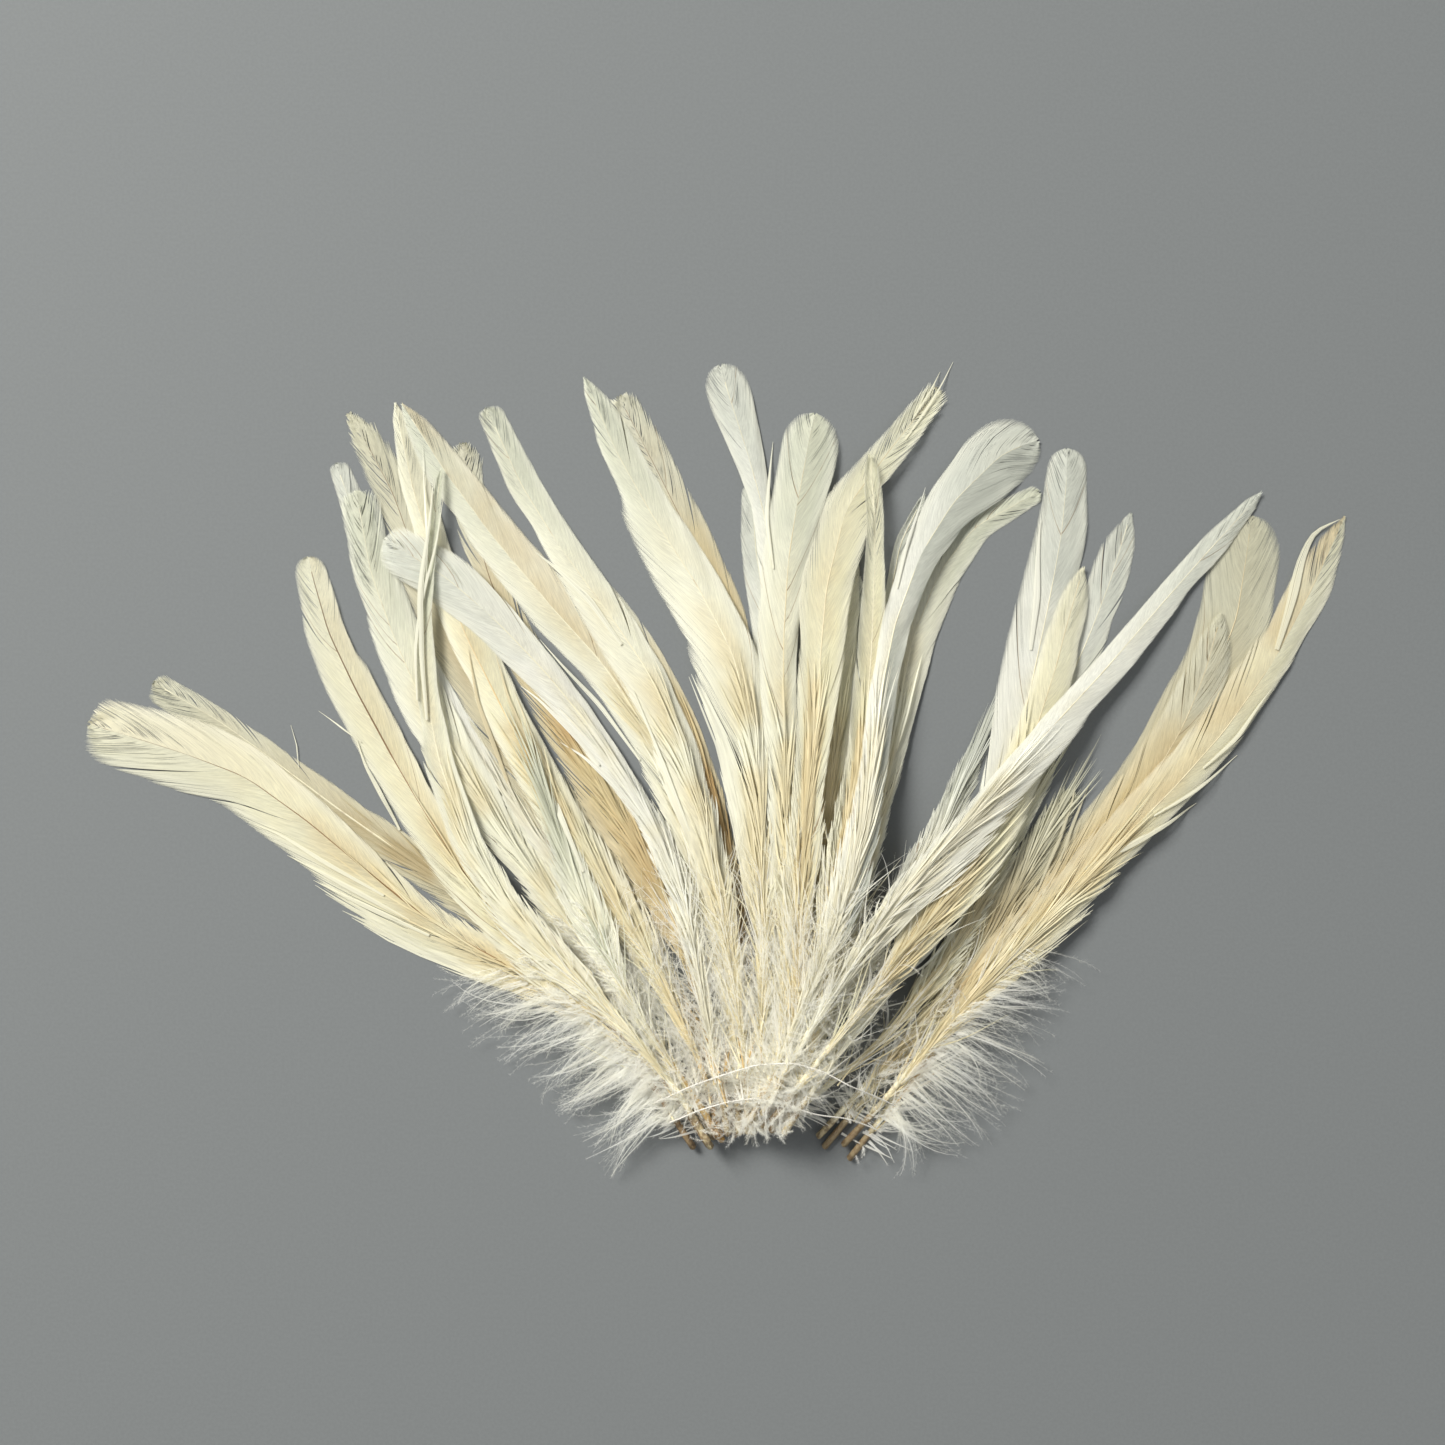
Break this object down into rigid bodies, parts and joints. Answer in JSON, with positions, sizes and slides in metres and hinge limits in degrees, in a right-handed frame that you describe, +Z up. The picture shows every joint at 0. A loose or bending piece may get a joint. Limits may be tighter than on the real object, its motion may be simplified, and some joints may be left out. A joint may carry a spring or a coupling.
{
  "type": "strung bunch of rooster tail feathers",
  "caption": "Fan of long off-white rooster tail feathers lying flat, their quills stitched side by side with thread, with fluffy down at the foot.",
  "frame": {"origin": "on the surface that the bunch lies on, under the middle of its outline", "axes": "+Z up, square to the surface; +Y from the quill ends towards the tips; +X to the right as the picture shows it"},
  "size_m": [0.464, 0.294, 0.0224],
  "materials": {
    "feather_white": "bleached white vane, soft satin sheen",
    "feather_ivory": "ivory vane, soft satin sheen",
    "feather_cream": "cream vane, soft satin sheen",
    "feather_tan": "tan vane with a peach tint, soft satin sheen",
    "feather_khaki": "thin grey-olive vane that lets light through",
    "thread_white": "twisted cotton thread"
  },
  "bodies": {
    "root": {"feather_01_left_under": "feather_khaki", "feather_02_centre_frayed": "feather_khaki", "feather_03_blue_white": "feather_white", "feather_04_right_round": "feather_khaki", "feather_05_right_frayed": "feather_khaki", "feather_06_left_grey": "feather_white", "feather_07_left_frayed": "feather_khaki", "feather_08_left_ragged": "feather_khaki", "feather_09_centre_shaded": "feather_khaki", "feather_10_tan": "feather_tan", "feather_11_right_tan": "feather_tan", "feather_12_pale_narrow": "feather_white", "feather_13_grey_tip": "feather_white", "feather_14_short_wisp": "feather_white", "feather_15_low_right": "feather_cream", "feather_16_white_sliver": "feather_white", "feather_17_top_round": "feather_white", "feather_18_yellow_vane": "feather_cream", "feather_19_far_left": "feather_ivory", "feather_20_left_dark_shaft": "feather_cream", "feather_21_left_point": "feather_white", "feather_22_left_broad": "feather_ivory", "feather_23_white_cross": "feather_white", "feather_24_white_short": "feather_white", "feather_25_left_upright": "feather_white", "feather_26_left_folded": "feather_cream", "feather_27_longest": "feather_ivory", "feather_28_centre_round": "feather_white", "feather_29_right_round": "feather_ivory", "feather_30_bent_frayed": "feather_cream", "feather_31_rolled": "feather_cream", "feather_32_paddle": "feather_ivory", "feather_33_white_round": "feather_white", "feather_34_tan_middle": "feather_tan", "feather_35_long_white": "feather_white", "feather_36_far_right": "feather_tan", "thread_upper_row": "thread_white", "thread_lower_row": "thread_white"}
  },
  "joints": []
}
